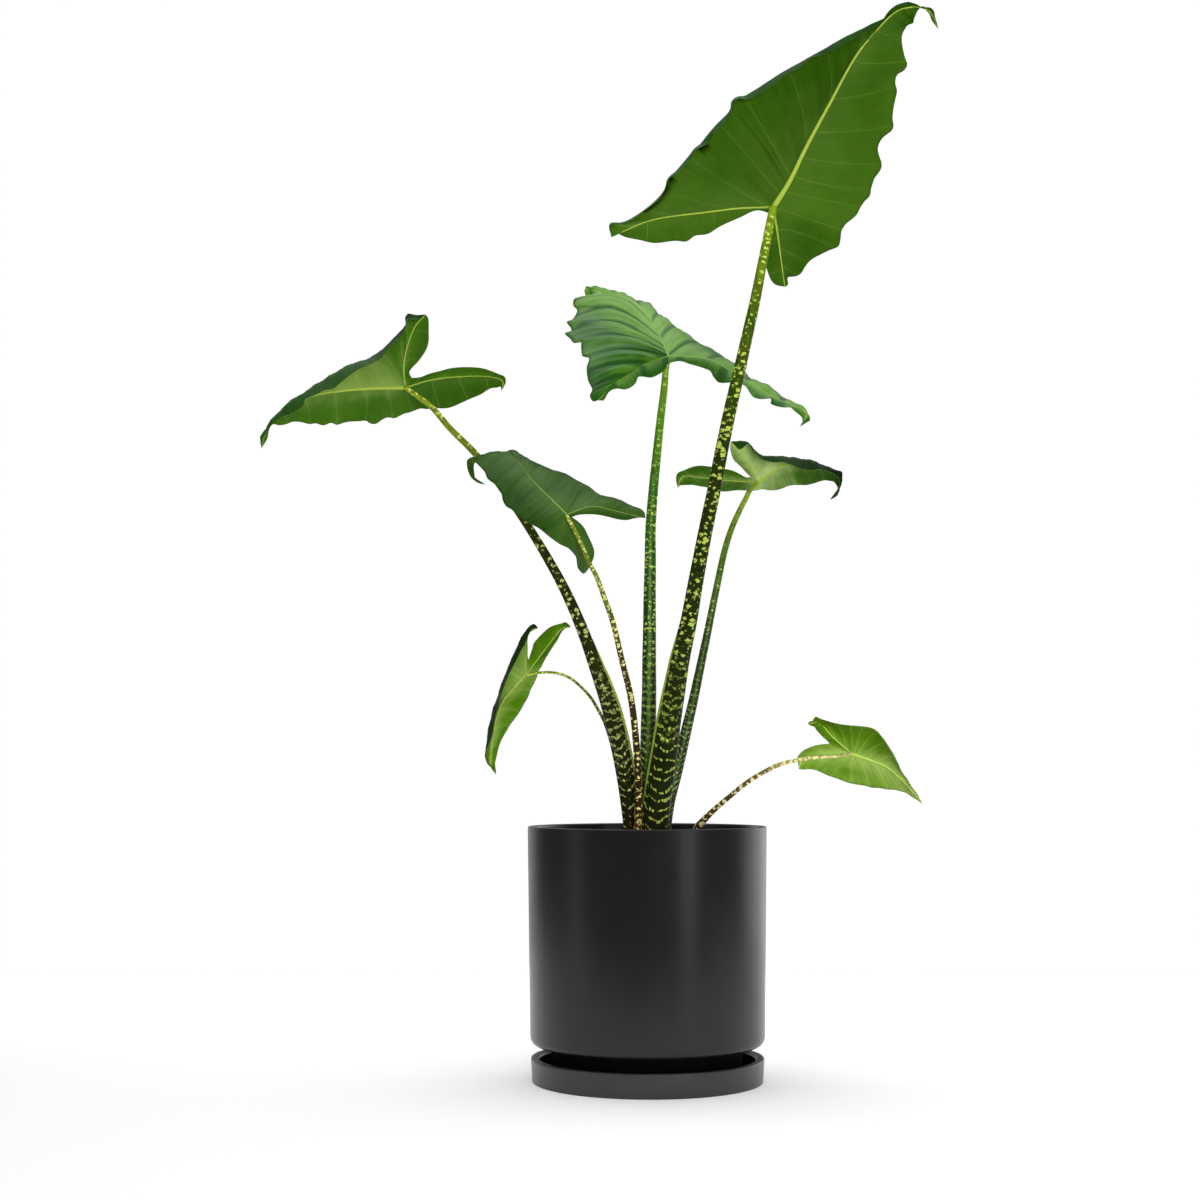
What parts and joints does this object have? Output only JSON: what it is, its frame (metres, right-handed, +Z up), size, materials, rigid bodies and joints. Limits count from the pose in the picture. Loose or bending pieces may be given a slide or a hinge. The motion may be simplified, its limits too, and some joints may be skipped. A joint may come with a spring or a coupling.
{
  "type": "potted zebrina alocasia",
  "caption": "Potted zebrina alocasia: arrow-shaped green leaves on zebra-mottled stalks rising from soil in a satin black cylinder pot on its saucer.",
  "frame": {"origin": "centre of the saucer's underside, on the pot's axis", "axes": "+Z up along the pot's axis; -Y towards the side that the picture shows; +X to its right"},
  "size_m": [0.5637, 0.3016, 0.8976],
  "materials": {
    "pot_glaze": "satin",
    "potting_mix": "matte",
    "leaf_green": "satin",
    "mottled_stalk": "satin"
  },
  "bodies": {
    "root": {"pot": "pot_glaze", "saucer": "pot_glaze", "soil": "potting_mix", "leaf_tall_right": "leaf_green", "leaf_far_left": "leaf_green", "leaf_centre_back": "leaf_green", "leaf_mid_left": "leaf_green", "leaf_mid_right": "leaf_green", "leaf_low_left": "leaf_green", "leaf_low_right": "leaf_green", "stalk_tall_right": "mottled_stalk", "stalk_far_left": "mottled_stalk", "stalk_centre_back": "mottled_stalk", "stalk_mid_left": "mottled_stalk", "stalk_mid_right": "mottled_stalk", "stalk_low_left": "mottled_stalk", "stalk_low_right": "mottled_stalk"}
  },
  "joints": []
}
